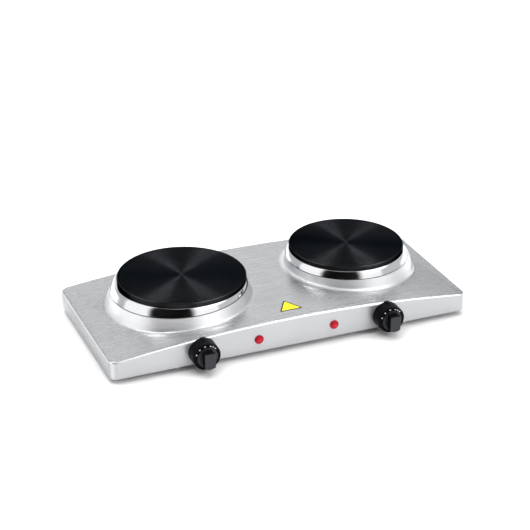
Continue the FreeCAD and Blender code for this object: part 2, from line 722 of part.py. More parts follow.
def make_ring(plate, rim, ring):
    """Conical spill ring and the gasket that it stands on."""
    top = ring_axis(plate) + ("$plate_top",)
    slope = "(%s - %s - $ring_step) / ($%s_drop - $rim_height)" % (ring, rim, plate)
    foot_r = "%s + $ring_spare * %s" % (ring, slope)
    foot_z = "-$%s_drop - $ring_spare" % plate
    crest = rim + " + $ring_step"
    profile = [(rim + " - $ring_lip", "-$rim_height"), (crest + " - $ring_edge", "-$rim_height"),
               (crest, "-$rim_height - $ring_edge"), (foot_r, foot_z),
               (foot_r + " - $ring_wall", foot_z),
               (crest + " - $ring_wall", "-$rim_height - $ring_step"),
               (rim + " - $ring_lip", "-$rim_height - $ring_step")]
    blank = turned(plate + "_ring_blank", profile, top)
    seat = "$plate_top - $%s_drop" % plate
    tilt = "$%s_tilt" % plate
    below = rod(plate + "_ring_below", "2 * " + ring, "3 * $over",
                top[:2] + (seat + " + $gasket_t + $seat_play",), "180 + " + tilt)
    node(cut(plate + "_ring", blank, [below]), plate + "_spill_ring")
    disc = rod(plate + "_gasket_disc", ring + " - $gasket_in", "$gasket_t", top[:2] + (seat,),
               tilt)
    hole = rod(plate + "_gasket_hole", ring + " - $gasket_in - $gasket_w", "$over",
               top[:2] + (seat + " - $over / 2",), tilt)
    node(cut(plate + "_gasket", disc, [hole]), plate + "_ring_gasket")


def coil(name, plate, inner, index):
    """One ring of the heating coil."""
    torus = doc.addObject("Part::Torus", name)
    share = (index + 0.5) / COIL_COUNT
    bind(torus, "Radius1", "$boss_r + (%s - $boss_r) * %f" % (inner, share))
    bind(torus, "Radius2", "$coil_r")
    return place(torus, ("$%s_x" % plate, "$%s_y" % plate, "$plate_top - $coil_z"))


def make_heater(plate, inner, top):
    """Three coil rings bedded in the ceramic filler."""
    low = "-$plate_depth + $filler_short"
    filler = turned(plate + "_filler_blank",
                    [("$boss_r", "-$recess_depth"), (inner, "-$recess_depth"), (inner, low),
                     ("$boss_r", low)], top)
    sockets = [coil("%s_socket_%d" % (plate, k), plate, inner, k) for k in range(COIL_COUNT)]
    coils = [coil("%s_coil_%d" % (plate, k), plate, inner, k) for k in range(COIL_COUNT)]
    node(cut(plate + "_filler", filler, sockets), plate + "_element_filler")
    node(group(plate + "_coil_set", coils), plate + "_heating_coils")


def make_clamp(plate):
    """Clamp bridge and terminal block; returns the stud, washer and nut."""
    x, y = "$%s_x" % plate, "$%s_y" % plate
    reach = "($%s_rim_r - $bridge_reach)" % plate
    seat = "$plate_top - $%s_drop - $sheet" % plate
    bar_z = "$plate_top - $bridge_top - $bridge_t"
    left = x + " - $bridge_w / 2"
    bar = box(plate + "_bar", ("$bridge_w", "2 * " + reach, "$bridge_t"),
              (left, y + " - " + reach, bar_z))
    ends = []
    for k, end in enumerate((y + " - " + reach, y + " + %s - $bridge_t" % reach)):
        ends.append(box("%s_bar_end_%d" % (plate, k), ("$bridge_w", "$bridge_t",
                        "%s - (%s)" % (seat, bar_z)), (left, end, bar_z)))
    solid = fuse(plate + "_bridge_blank", [bar] + ends)
    eye = rod(plate + "_bridge_eye", "$stud_r + $panel_play", "2 * $over",
              (x, y, bar_z + " - $over"))
    above = rod(plate + "_bridge_above", "2 * $%s_rim_r" % plate, "3 * $over",
                ring_axis(plate) + (seat,), "$%s_tilt" % plate)
    node(cut(plate + "_bridge", solid, [eye, above]), plate + "_clamp_bridge")
    make_terminals(plate, x, y)
    stud = turned(plate + "_stud", [("0", "-$stud_top"), ("$stud_r - $stud_play", "-$stud_top"),
                                    ("$stud_r - $stud_play", "$screw_tip - $stud_low"),
                                    ("$stud_r - $screw_tip", "-$stud_low"),
                                    ("0", "-$stud_low")], (x, y, "$plate_top"))
    washer = cut(plate + "_washer",
                 rod(plate + "_washer_disc", "$washer_r", "$washer_t",
                     (x, y, bar_z + " - $washer_t")),
                 [rod(plate + "_washer_eye", "$stud_r + $stud_play", "2 * $over",
                      (x, y, bar_z + " - $over"))])
    nut = cut(plate + "_nut",
              prism(plate + "_nut_blank", HEX, "$nut_r", "$nut_h",
                    (x, y, bar_z + " - $washer_t - $nut_h")),
              [rod(plate + "_nut_bore", "$stud_r", "2 * $over", (x, y, bar_z + " - 2 * $over"))])
    return stud, washer, nut


def make_terminals(plate, x, y):
    """Ceramic terminal block under the plate with its two pins."""
    top = "$plate_top - $plate_depth - $cover_t"
    block = box(plate + "_block_blank", ("$block_w", "$block_l", "$block_h"),
                (x + " + $block_x - $block_w / 2", y + " - $block_l / 2", top + " - $block_h"))
    sockets, pins = [], []
    for k, side in enumerate((-1, 1)):
        at = (x + " + $block_x", y + " + %f * $pin_gap" % (side / 2),
              top + " - $block_h - $pin_len")
        sockets.append(rod("%s_pin_socket_%d" % (plate, k), "$pin_r + $stud_play", "$over", at))
        pins.append(rod("%s_pin_%d" % (plate, k), "$pin_r", "$over", at))
    node(cut(plate + "_block", block, sockets), plate + "_terminal_block")
    node(group(plate + "_pin_set", pins), plate + "_terminal_pins")


def make_plates():
    """Both cooking plates with everything that holds and heats them."""
    studs, washers, nuts = [], [], []
    for plate in PLATES:
        make_plate(plate)
        stud, washer, nut = make_clamp(plate)
        studs.append(stud)
        washers.append(washer)
        nuts.append(nut)
    node(group("stud_set", studs), "plate_studs")
    node(group("washer_set", washers), "clamp_washers")
    node(group("nut_set", nuts), "clamp_nuts")


# ---------------------------------------------------------------- controls

def make_regulator(side, x):
    """Regulator case, cover, blades and bush nut behind the front panel."""
    axis = (x, "$front_y", "$knob_z")
    back = "$front_y + $sheet"
    low = "$knob_z - $reg_low"
    case = box(side + "_case", ("$reg_w", "$reg_d", "$reg_h"), (x + " - $reg_w / 2", back, low))
    chamber = box(side + "_chamber",
                  ("$reg_w - 2 * $reg_wall", "$reg_d", "$reg_h - 2 * $reg_wall"),
                  (x + " - $reg_w / 2 + $reg_wall", back + " + $reg_front", low + " + $reg_wall"))
    bush = rod(side + "_bush", "$bush_r", "$bush_out + $sheet + $reg_front / 2",
               (x, back + " + $reg_front / 2", "$knob_z"), FORWARD)
    bore = rod(side + "_bush_bore", "$shaft_r + $shaft_play", "4 * $over",
               (x, "$front_y + 2 * $over", "$knob_z"), FORWARD)
    hollow = cut(side + "_case_hollow", case, [chamber])
    node(cut(side + "_regulator", fuse(side + "_case_and_bush", [hollow, bush]), [bore]),
         side + "_regulator_body")
    node(box(side + "_lid", ("$reg_w", "$reg_wall", "$reg_h"),
             (x + " - $reg_w / 2", back + " + $reg_d", low)), side + "_regulator_cover")
    blades = []
    for k, (dx, dz) in enumerate(((-1, -1), (-1, 1), (1, -1), (1, 1))):
        blades.append(box("%s_blade_%d" % (side, k), ("$blade_t", "$blade_l", "$blade_w"),
                          ("%s + %d * $blade_dx - $blade_t / 2" % (x, dx),
                           back + " + $reg_d + $reg_wall",
                           "$blade_z + %d * $blade_dz - $blade_w / 2" % dz)))
    node(group(side + "_blade_set", blades), side + "_regulator_terminals")
    nut = prism(side + "_bush_nut_blank", HEX, "$bush_nut_r", "$bush_nut_h", axis, FORWARD)
    nut_bore = rod(side + "_bush_nut_bore", "$bush_r + $shaft_play", "$over",
                   (x, "$front_y + $over / 2", "$knob_z"), FORWARD)
    node(cut(side + "_bush_nut", nut, [nut_bore]), side + "_regulator_nut")


def make_shaft(side, x):
    """Regulator shaft with its flat, and the cam that it turns."""
    rod_end = "$front_y + $shaft_in"
    shaft = rod(side + "_shaft_rod", "$shaft_r", "$shaft_in + $shaft_out",
                (x, rod_end, "$knob_z"), FORWARD)
    flat = box(side + "_shaft_flat", ("2 * $shaft_r", "$flat_len + $over", "$shaft_r"),
               (x + " - $shaft_r", "$front_y - $shaft_out - $over",
                "$knob_z - $shaft_flat - $shaft_r"))
    node(cut(side + "_shaft_cut", shaft, [flat]), side + "_shaft")
    disc = rod(side + "_cam_disc", "$cam_r", "$cam_t", (x, "$front_y + $cam_p", "$knob_z"), FORWARD)
    nose = rod(side + "_cam_nose", "$cam_nose", "$cam_t",
               (x, "$front_y + $cam_p", "$knob_z + $cam_shift"), FORWARD)
    bore = rod(side + "_cam_bore", "$shaft_r + $seat_play", "2 * $over",
               (x, "$front_y + 2 * $over", "$knob_z"), FORWARD)
    node(cut(side + "_cam_cut", fuse(side + "_cam_blank", [disc, nose]), [bore]),
         side + "_cam")


def make_bezel(side, x):
    """Fixed drum round the knob with a raised pointer on top."""
    drum = turned(side + "_drum", [
        ("$drum_hole", "0"), ("$drum_r", "0"), ("$drum_front_r", "$drum_len - $drum_edge"),
        ("$drum_front_r - $drum_edge", "$drum_len"), ("$drum_front_r - $drum_wall", "$drum_len"),
        ("$drum_front_r - $drum_wall", "$drum_floor"), ("$drum_hole", "$drum_floor")],
        (x, "$front_y", "$knob_z"), FORWARD)
    body = doc.addObject("PartDesign::Body", side + "_pointer")
    sketch = polygon(body, side + "_pointer_outline", "XY_Plane",
                     [("-$pointer_half", "0"), ("$pointer_half", "0"), ("0", "-$pointer_len")])
    pad = body.newObject("PartDesign::Pad", side + "_pointer_pad")
    pad.Profile = sketch
    bind(pad, "Length", "$pointer_h + $pointer_root")
    place(body, (x, "$front_y", "$knob_z + $drum_r - $pointer_root"))
    node(fuse(side + "_bezel_solid", [drum, body]), side + "_bezel")


def make_knob(side, x):
    """Knob: face disc with a raised boss, a hub and a scooped grip bar."""
    axis = (x, "$front_y", "$knob_z")
    bore_r = "$shaft_r + $seat_play"
    disc = turned(side + "_knob_disc", [
        (bore_r, "$hub_back"), ("$hub_r", "$hub_back"), ("$hub_r", "$face_back"),
        ("$face_r", "$face_back"), ("$face_r", "$face_front"), ("$boss_foot_r", "$face_front"),
        ("$boss_top_r", "$boss_front - $boss_edge"),
        ("$boss_top_r - $boss_edge", "$boss_front"), (bore_r, "$boss_front")], axis, FORWARD)
    bar = box(side + "_grip_bar", ("$grip_w", "$grip_front - $face_back", "$grip_up + $grip_round"),
              (x + " - $grip_w / 2", "$front_y - $grip_front", "$knob_z - $grip_round"))
    ends = rod(side + "_grip_ends", "$grip_round", "$grip_front + $over", axis, FORWARD)
    scoops = []
    for k, sign in enumerate((-1, 1)):
        scoops.append(rod("%s_scoop_%d" % (side, k), "$scoop_r", "4 * $over",
                          ("%s + %d * $scoop_x" % (x, sign), "$front_y - $scoop_p",
                           "$knob_z - 2 * $over")))
    grip = cut(side + "_grip", common(side + "_grip_blank", bar, ends), scoops)
    front = read("frame_y") + read("front_y") - read("grip_front")
    rounded = round_edges(
        side + "_grip_rounded", grip,
        lambda edge: all(abs(end.Point.y - front) < TINY for end in edge.Vertexes),
        read("grip_edge"))
    bore = rod(side + "_knob_bore", bore_r, "$shaft_out", axis, FORWARD)
    flat = box(side + "_bore_flat", ("2 * $shaft_r", "$flat_len", "$shaft_r"),
               (x + " - $shaft_r", "$front_y - $shaft_out", "$knob_z - $shaft_flat - $shaft_r"))
    d_bore = cut(side + "_d_bore", bore, [flat])
    node(cut(side + "_knob_cut", fuse(side + "_knob_solid", [disc, rounded]), [d_bore]),
         side + "_knob")
    make_marks(side, x)


def around(x, degrees, radius):
    """Expression pair for a point at an angle round a knob's axis, 0 at the top."""
    turn = math.radians(degrees)
    return ("%s + %f * %s" % (x, -math.sin(turn), radius),
            "$knob_z + %f * %s" % (math.cos(turn), radius))


def make_marks(side, x):
    """White dots and ticks on the knob's face."""
    marks = []
    for k, degrees in enumerate(DOT_ANGLES):
        dot_x, dot_z = around(x, degrees, "$mark_ring")
        marks.append(rod("%s_dot_%d" % (side, k), "$mark_r", "$mark_t",
                         (dot_x, "$front_y - $face_front", dot_z), FORWARD))
    for k, degrees in enumerate(TICK_ANGLES):
        marks.append(tick("%s_tick_%d" % (side, k), x, degrees))
    node(group(side + "_mark_set", marks), side + "_knob_marks")


def tick(name, x, degrees):
    """Short arc on the circle of marks, centred on an angle."""
    body = doc.addObject("PartDesign::Body", name)
    sketch = polygon(body, name + "_outline", "XZ_Plane",
                     [("$mark_in", "0"), ("$mark_out", "0"), ("$mark_out", "$mark_t"),
                      ("$mark_in", "$mark_t")])
    sweep = body.newObject("PartDesign::Revolution", name + "_sweep")
    sweep.Profile = sketch
    sweep.ReferenceAxis = (sketch, ["V_Axis"])
    sweep.Angle = TICK_SPAN
    spin = FreeCAD.Rotation(FreeCAD.Vector(0, 0, 1), QUARTER_TURN + degrees - TICK_SPAN / 2)
    return place(body, (x, "$front_y - $face_front", "$knob_z"), FORWARD.multiply(spin))


def make_controls():
    """Everything that belongs to the two knobs."""
    for side, x in (("left", "-$knob_x"), ("right", "$knob_x")):
        make_regulator(side, x)
        make_shaft(side, x)
        make_bezel(side, x)
        make_knob(side, x)


# ---------------------------------------------------------------- lamps and sticker

def make_lamps():
    """Red lenses and the lamp holders behind the panel."""
    for side in ("left", "right"):
        x = "$lamp_%s_x" % side
        axis = (x, "$front_y", "$lamp_z")
        lens = turned(side + "_lens", [
            ("0", "-$lens_stem"), ("$lens_stem_r", "-$lens_stem"), ("$lens_stem_r", "0"),
            ("$lens_r", "0"), ("$lens_r", "$lens_flange"), ("$lens_dome_r", "$lens_flange"),
            ("$lens_mid_r", "$lens_mid"), ("$lens_tip_r", "$lens_tip"), ("0", "$lens_tip")],
            axis, FORWARD)
        node(lens, side + "_lamp_lens")
        holder = turned(side + "_holder", [
            ("0", "-$lamp_len"), ("$lamp_r", "-$lamp_len"), ("$lamp_r", "-$sheet - $clip_t"),
            ("$clip_r", "-$sheet - $clip_t"), ("$clip_r", "-$sheet"), ("$lamp_r", "-$sheet"),
            ("$lamp_r", "0"), ("$lamp_bore", "0"), ("$lamp_bore", "-$lamp_len + $lamp_floor"),
            ("0", "-$lamp_len + $lamp_floor")], axis, FORWARD)
        node(holder, side + "_lamp_body")


def make_sticker():
    """Triangular label lying on the crown of the top."""
    blank = prism("sticker_blank", TRIANGLE, "$sticker_r", "$sticker_t",
                  ("$sticker_x", "$sticker_y", "$crown_z"), APEX_BACK)
    node(round_edges("sticker_rounded", blank, is_upright, read("sticker_round")),
         "triangle_sticker")


# ---------------------------------------------------------------- inlet and wiring

def make_inlet():
    """Cord inlet in the back wall and its nut."""
    axis = ("$gland_x", "$depth / 2", "$gland_z")
    gland = turned("gland", [
        ("$gland_bore", "-$gland_in"), ("$gland_r", "-$gland_in"), ("$gland_r", "0"),
        ("$gland_flange_r", "0"), ("$gland_flange_r - 1", "$gland_flange"),
        ("$gland_bore", "$gland_flange")], axis, BACKWARD)
    node(gland, "cable_gland")
    blank = prism("gland_nut_blank", HEX, "$gland_nut_r", "$gland_nut_h",
                  ("$gland_x", "$depth / 2 - $sheet - $gland_nut_h", "$gland_z"), BACKWARD)
    bore = rod("gland_nut_bore", "$gland_r + $shaft_play", "2 * $over",
               ("$gland_x", "$depth / 2 - $over", "$gland_z"), BACKWARD)
    node(cut("gland_nut_cut", blank, [bore]), "gland_nut")


def make_mains_block():
    """Three-way terminal block on the base plate."""
    low = "$edge_z"
    block = box("mains_blank", ("$mains_l", "$mains_w", "$mains_h"),
                ("$mains_x - $mains_l / 2", "$mains_y - $mains_w / 2", low))
    tools, screws = [], []
    for k in range(-1, 2):
        x = "$mains_x + %d * $mains_pitch" % k
        bore_z = low + " + $mains_bore_z"
        tools.append(rod("mains_bore_%d" % k, "$mains_bore", "3 * $over",
                         (x, "$mains_y + 1.5 * $over", bore_z), FORWARD))
        top = bore_z + " + $mains_bore - $mains_foot_h"
        tools.append(rod("mains_well_%d" % k, "$mains_screw_r + $panel_play", "2 * $over",
                         (x, "$mains_y", bore_z)))
        screws.append(rod("mains_screw_%d" % k, "$mains_screw_r", "$mains_screw_h",
                          (x, "$mains_y", top)))
    node(cut("mains_cut", block, tools), "mains_terminal_block")
    node(group("mains_screw_set", screws), "mains_terminal_screws")


def wire(name, points):
    """Round wire along straight runs with a ball at every bend."""
    pieces = []
    for k, (first, last) in enumerate(zip(points, points[1:])):
        axis = [a != b for a, b in zip(first, last)].index(True)
        turn = (ALONG_X, BACKWARD, UP)[axis]
        length = "(%s) - (%s)" % (last[axis], first[axis])
        run = rod("%s_run_%d" % (name, k), "$wire_r", "1", first, turn)
        bind(run, "Height", "abs(%s)" % length)
        start = "min(%s; %s)" % (first[axis], last[axis])
        put(run, "xyz"[axis], start)
        pieces.append(run)
    for k, corner in enumerate(points[1:-1]):
        pieces.append(ball("%s_bend_%d" % (name, k), "$wire_r", corner))
    return fuse(name, pieces)


def make_wires():
    """Supply, heater, lamp and earth wires."""
    blade_y = "$front_y + $sheet + $reg_d + $reg_wall + $blade_l"
    block_front = "$mains_y - $mains_w / 2"
    bore_z = "$edge_z + $mains_bore_z"
    supply, heater, lamp = [], [], []
    for k, (side, x) in enumerate((("left", "-$knob_x"), ("right", "$knob_x"))):
        start_x = "$mains_x + %d * $mains_pitch" % (k - 1)
        end_x = x + " + $blade_dx"
        end_z = "$blade_z - $blade_dz"
        run_y = "$wire_y + %d * $over / 2" % k
        supply.append(wire(side + "_supply", [
            (start_x, block_front, bore_z), (start_x, run_y, bore_z), (end_x, run_y, bore_z),
            (end_x, run_y, end_z), (end_x, blade_y, end_z)]))
    for plate, x in (("large", "-$knob_x"), ("small", "$knob_x")):
        start = x + " - $blade_dx"
        high = "$blade_z + $blade_dz"
        pin_z = "$plate_top - $plate_depth - $cover_t - $block_h - $pin_len"
        pin_x = "$%s_x + $block_x" % plate
        pin_y = "$%s_y - $pin_gap / 2" % plate
        heater.append(wire(plate + "_heater", [
            (start, blade_y, high), (start, "$wire_y", high), (pin_x, "$wire_y", high),
            (pin_x, pin_y, high), (pin_x, pin_y, pin_z)]))
    for side in ("left", "right"):
        x = "$lamp_%s_x" % side
        sign = -1 if side == "left" else 1
        back = "$front_y + $lamp_len"
        lamp.append(wire(side + "_lamp_lead", [
            (x, back, "$lamp_z"), (x, "$wire_y - $over", "$lamp_z"),
            ("%d * ($knob_x - $lead_x)" % sign, "$wire_y - $over", "$lamp_z"),
            ("%d * ($knob_x - $lead_x)" % sign,
             "$front_y + $sheet + $reg_d + $reg_wall", "$lamp_z")]))
    node(group("supply_set", supply), "supply_wires")
    node(group("heater_set", heater), "heater_wires")
    node(group("lamp_set", lamp), "lamp_wires")
    earth_start = "$mains_x + $mains_pitch"
    node(wire("earth_lead", [
        (earth_start, block_front, bore_z), (earth_start, "$earth_y", bore_z),
        ("$earth_x", "$earth_y", bore_z), ("$earth_x", "$earth_y", "$edge_z")]),
        "earth_wire")


# ---------------------------------------------------------------- output

def check_document():
    """Stop if any object failed."""
    for obj in doc.Objects:
        if "Invalid" in obj.State or "Error" in obj.State:
            raise RuntimeError("%s: %s" % (obj.Name, obj.State))
    for obj in nodes:
        if obj.Shape.isNull() or not obj.Shape.isValid():
            raise RuntimeError("bad shape: " + obj.Label)


def write_nodes():
    """Write one STEP file for each node."""
    os.makedirs(NODE_FOLDER, exist_ok=True)
    for obj in nodes:
        obj.Shape.exportStep("%s/%s.step" % (NODE_FOLDER, obj.Label))
        size = obj.Shape.BoundBox
        print("%-26s solids %d  volume %.0f  x %.1f..%.1f y %.1f..%.1f z %.1f..%.1f" % (
            obj.Label, len(obj.Shape.Solids), obj.Shape.Volume, size.XMin, size.XMax,
            size.YMin, size.YMax, size.ZMin, size.ZMax))


fill_sheet()
make_housing()
make_base()
make_feet()
make_plates()
make_controls()
make_lamps()
make_sticker()
make_inlet()
make_mains_block()
make_wires()
doc.recompute()
check_document()
write_nodes()
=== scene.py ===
"""Looks of the hot plate: materials, studio light and camera."""

import json
import math

import bmesh
import bpy
from mathutils import Matrix, Vector


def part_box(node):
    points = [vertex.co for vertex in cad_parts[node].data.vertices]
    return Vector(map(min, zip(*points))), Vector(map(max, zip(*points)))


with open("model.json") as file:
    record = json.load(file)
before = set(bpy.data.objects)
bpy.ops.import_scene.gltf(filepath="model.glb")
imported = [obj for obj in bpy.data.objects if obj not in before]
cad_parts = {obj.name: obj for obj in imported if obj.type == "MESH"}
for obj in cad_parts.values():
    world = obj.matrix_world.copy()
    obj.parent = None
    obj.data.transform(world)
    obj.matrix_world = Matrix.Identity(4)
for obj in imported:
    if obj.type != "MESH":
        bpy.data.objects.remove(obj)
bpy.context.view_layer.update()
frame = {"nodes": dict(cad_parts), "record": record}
nodes = frame["nodes"]
scene = bpy.context.scene

MM = 0.001

# turned plates: steepest lean of the ridges, and the grooves as they are cut in the CAD
RIDGE_SLOPE = 0.42
GROOVE_START, GROOVE_PITCH, GROOVE_WIDTH = 5 * MM, 3.7 * MM, 1.2 * MM

FILM_BORDER = 1.9 * MM      # dark border of the yellow triangle
SMOOTH_ANGLE = math.radians(28)
WELD = 2e-6

# strength of the sky on matt surfaces
MATT_SKY = 0.95

# camera: viewing direction, distance and framing
AZIMUTH, ELEVATION = math.radians(-22.58), math.radians(26.06)
DISTANCE = 2.255
SLIDE_RIGHT, SLIDE_UP = -0.00339, -0.0342
AIM_HEIGHT = 0.036
LENS, SENSOR = 107.5, 36.0


# ------------------------------------------------------------------ material helpers

class Nodes:
    """Short ways of building a node tree."""

    def __init__(self, owner):
        owner.use_nodes = True
        self.tree = owner.node_tree
        self.tree.nodes.clear()

    def add(self, kind, **settings):
        """New node with its properties or unlinked inputs set."""
        node = self.tree.nodes.new(kind)
        for key, value in settings.items():
            if hasattr(node, key):
                setattr(node, key, value)
            else:
                node.inputs[key.replace("_", " ")].default_value = value
        return node

    def link(self, source, target):
        """Join two sockets."""
        self.tree.links.new(source, target)

    def spread(self, value, low, high, start=0.3, stop=0.7, kind="LINEAR"):
        """Map a value from start..stop to low..high."""
        node = self.add("ShaderNodeMapRange", clamp=True, interpolation_type=kind)
        for key, number in zip(("From Min", "From Max", "To Min", "To Max"),
                               (start, stop, low, high)):
            node.inputs[key].default_value = number
        self.link(value, node.inputs["Value"])
        return node.outputs["Result"]

    def math(self, operation, first, second=None):
        """Math node on sockets or plain numbers."""
        node = self.add("ShaderNodeMath", operation=operation)
        for index, value in enumerate((first, second)):
            if value is None:
                continue
            if isinstance(value, (int, float)):
                node.inputs[index].default_value = value
            else:
                self.link(value, node.inputs[index])
        return node.outputs[0]

    def product(self, *values):
        """All values multiplied together."""
        result = values[0]
        for value in values[1:]:
            result = self.math("MULTIPLY", result, value)
        return result

    def along(self, vector, direction):
        """How far a vector reaches in a direction."""
        node = self.add("ShaderNodeVectorMath", operation="DOT_PRODUCT")
        node.inputs[1].default_value = direction
        self.link(vector, node.inputs[0])
        return node.outputs["Value"]

    def blend(self, amount, first, second):
        """Colour going from the first to the second."""
        node = self.add("ShaderNodeMix", data_type="RGBA")
        sockets = [s for s in node.inputs if s.enabled]
        for socket, value in zip(sockets, (amount, first, second)):
            if isinstance(value, (tuple, list)):
                socket.default_value = (*value, 1.0)
            elif isinstance(value, (int, float)):
                socket.default_value = value
            else:
                self.link(value, socket)
        return next(s for s in node.outputs if s.enabled)


class Paint(Nodes):
    """A material built round one Principled shader."""

    def __init__(self, name, **sockets):
        self.material = bpy.data.materials.new(name)
        super().__init__(self.material)
        self.shader = self.add("ShaderNodeBsdfPrincipled")
        output = self.add("ShaderNodeOutputMaterial")
        self.link(self.shader.outputs["BSDF"], output.inputs["Surface"])
        coordinates = self.add("ShaderNodeTexCoord")
        self.place = coordinates.outputs["Object"]
        self.facing = coordinates.outputs["Normal"]
        for socket, value in sockets.items():
            self.shader.inputs[socket.replace("_", " ")].default_value = value

    def stretched(self, scale, centre=(0, 0, 0)):
        """Object position measured from a centre and scaled along each axis."""
        mapping = self.add("ShaderNodeMapping", Scale=scale)
        mapping.inputs["Location"].default_value = [-c * s for c, s in zip(centre, scale)]
        self.link(self.place, mapping.inputs["Vector"])
        return mapping.outputs["Vector"]

    def noise(self, scale, detail=3.0, rough=0.5, centre=(0, 0, 0)):
        """Noise with its own scale along each axis."""
        node = self.add("ShaderNodeTexNoise", Scale=1.0, Detail=detail, Roughness=rough)
        self.link(self.stretched(scale, centre), node.inputs["Vector"])
        return node.outputs["Fac"]

    def reach(self, flat, centre):
        """Distance from an axis through the centre; flat has a 0 along that axis."""
        length = self.add("ShaderNodeVectorMath", operation="LENGTH")
        self.link(self.stretched(flat, [c * f for c, f in zip(centre, flat)]), length.inputs[0])
        return length.outputs["Value"]

    def colour(self, source):
        """Drive the base colour."""
        self.link(source, self.shader.inputs["Base Color"])

    def rough(self, source):
        """Drive the roughness."""
        self.link(source, self.shader.inputs["Roughness"])

    def vector(self, operation, first, second=None):
        """Vector math on a socket and another socket."""
        node = self.add("ShaderNodeVectorMath", operation=operation)
        self.link(first, node.inputs[0])
        if second is not None:
            self.link(second, node.inputs["Scale" if operation == "SCALE" else 1])
        return node.outputs["Vector"]

    def turned_facets(self, centre, slope):
        """Normals of low turned ridges leaning to and from the upright axis."""
        outward = self.vector("NORMALIZE", self.stretched((1, 1, 0), (centre.x, centre.y, 0)))
        lean = self.vector("SCALE", outward, slope)
        return self.vector("NORMALIZE", self.vector("ADD", self.facing, lean))

    def turned_to(self, axis):
        """1 where the surface faces along an axis, either way, and 0 where it faces elsewhere."""
        return self.spread(self.math("ABSOLUTE", self.along(self.facing, axis)), 0, 1, 0.7, 0.95)

    def bump(self, heights, before=None):
        """Stack bump maps given as (height socket, depth in metres)."""
        for height, depth in heights:
            node = self.add("ShaderNodeBump", Strength=1.0, Distance=depth)
            self.link(height, node.inputs["Height"])
            if before is not None:
                self.link(before, node.inputs["Normal"])
            before = node.outputs["Normal"]
        self.link(before, self.shader.inputs["Normal"])

    def brushed(self, direction):
        """Straight brushing along a direction; highlights stretch across it."""
        self.shader.inputs["Anisotropic Rotation"].default_value = 0.25
        node = self.add("ShaderNodeCombineXYZ", X=direction[0], Y=direction[1], Z=direction[2])
        self.link(node.outputs["Vector"], self.shader.inputs["Tangent"])

    def turned(self):
        """Brushing that runs round the part's own upright axis."""
        self.shader.inputs["Anisotropic Rotation"].default_value = 0.25
        node = self.add("ShaderNodeTangent", direction_type="RADIAL", axis="Z")
        self.link(node.outputs["Tangent"], self.shader.inputs["Tangent"])


def middle(node):
    """Middle of a CAD node's box."""
    low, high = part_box(node)
    return (low + high) / 2


def wear(paint, colour, amount, scale):
    """Base colour with soft uneven patches."""
    darker = [c * (1 - amount) for c in colour]
    paint.colour(paint.blend(paint.spread(paint.noise((scale,) * 3, 4.0), 0, 1), darker, colour))


# ------------------------------------------------------------------ materials

def brushed_housing():
    """Stainless sheet: brushed top; duller walls, also darkened by painted shade; a painted
    highlight on the bends; two polished collars.
    """
    paint = Paint("housing_brushed_steel", Metallic=1.0, Anisotropic=0.7)
    paint.brushed((1, 0, 0))
    fine = paint.noise((28, 1300, 1300), 2.0)
    broad = paint.noise((30, 520, 520), 3.0, 0.5)
    smudge = paint.noise((16, 16, 16), 3.0)
    lines = paint.math("ADD", paint.product(fine, 0.35), paint.product(broad, 0.65))
    tone = paint.math("ADD", paint.spread(lines, 0.0, 0.75, 0.36, 0.64),
                      paint.spread(smudge, 0.0, 0.25))
    panel = paint.turned_to((0, 1, 0))
    end = paint.turned_to((1, 0, 0))
    calm = paint.spread(paint.math("MAXIMUM", panel, end), 1, 0.3, 0, 1)
    tone = paint.math("ADD", paint.product(paint.math("SUBTRACT", tone, 0.5), calm), 0.5)
    sheet = paint.blend(tone, (0.505, 0.51, 0.52), (0.635, 0.64, 0.65))
    # painted shade: the front and back walls and the end walls are painted darker by the way they
    # face
    sheet = paint.blend(paint.product(panel, 0.6), sheet, (0.47, 0.475, 0.485))
    sheet = paint.blend(paint.product(end, 0.8), sheet, (0.26, 0.265, 0.275))
    # painted highlight: the bends between the top and the walls are painted near white
    upright = paint.along(paint.facing, (0, 0, 1))
    bend_highlight = paint.product(paint.spread(upright, 0, 1, 0.25, 0.45),
                         paint.spread(upright, 1, 0, 0.75, 0.9))
    brushed = paint.blend(bend_highlight, sheet, (0.98, 0.98, 0.98))
    collar = near_collars(paint)
    paint.colour(paint.blend(collar, brushed, (0.90, 0.905, 0.915)))
    base = paint.math("ADD", paint.spread(lines, 0.20, 0.28), paint.spread(smudge, 0.0, 0.05))
    duller = paint.math("ADD", paint.product(collar, 0.14), paint.product(panel, 0.18))
    paint.rough(paint.math("ADD", base, duller))
    flatter = paint.product(paint.spread(collar, 1.0, 0.25, 0, 1), calm)
    paint.bump([(paint.product(broad, flatter), 4e-6), (paint.product(fine, flatter), 3e-6)])
    return paint.material


def near_collars(paint):
    """1 on the collars under the spill rings, 0 on the brushed sheet."""
    amount = None
    for ring in ("large_spill_ring", "small_spill_ring"):
        low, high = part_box(ring)
        radius = (high.y - low.y) / 2
        reach = paint.reach((1, 1, 0), middle(ring))
        part = paint.spread(reach, 1, 0, radius + 5 * MM, radius + 11 * MM, "SMOOTHSTEP")
        amount = part if amount is None else paint.math("MAXIMUM", amount, part)
    return amount


def polished_ring(node):
    """Polished steel ring with faint turning lines and wipe marks."""
    paint = Paint("polished_" + node, Metallic=1.0, Anisotropic=0.25)
    paint.turned()
    lines = paint.noise((6, 6, 1900), 2.0, centre=middle(node))
    wipe = paint.noise((30, 30, 60), 3.0)
    paint.colour(paint.blend(paint.spread(wipe, 0, 1), (0.80, 0.81, 0.82), (0.87, 0.87, 0.88)))
    paint.rough(paint.math("ADD", paint.spread(lines, 0.07, 0.12), paint.spread(wipe, 0.0, 0.04)))
    paint.bump([(lines, 2e-6)])
    return paint.material


